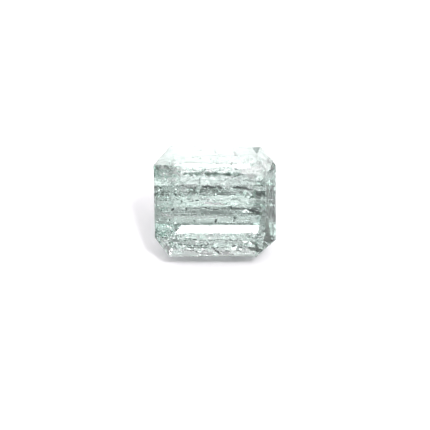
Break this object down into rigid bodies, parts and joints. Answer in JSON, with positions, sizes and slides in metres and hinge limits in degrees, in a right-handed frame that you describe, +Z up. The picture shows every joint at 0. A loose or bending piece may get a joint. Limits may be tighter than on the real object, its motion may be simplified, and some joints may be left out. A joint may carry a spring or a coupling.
{
  "type": "step-cut tourmaline gemstone",
  "caption": "Pale mint-green, heavily included tourmaline cut as an octagonal step-cut gemstone, lying on a lowest pavilion facet with its table facing forward and up.",
  "frame": {"origin": "on the ground under the middle of the stone's box; the stone lies on its front side's lowest pavilion facet", "axes": "+X along the stone's long side, to the right as the table is seen; the table faces -Y and up, 51 degrees above level; +Z up"},
  "size_m": [0.0086, 0.0062, 0.0058],
  "materials": {
    "tourmaline": "polished, with included pale green crystal inside"
  },
  "bodies": {
    "root": {"tourmaline": "tourmaline"}
  },
  "joints": []
}
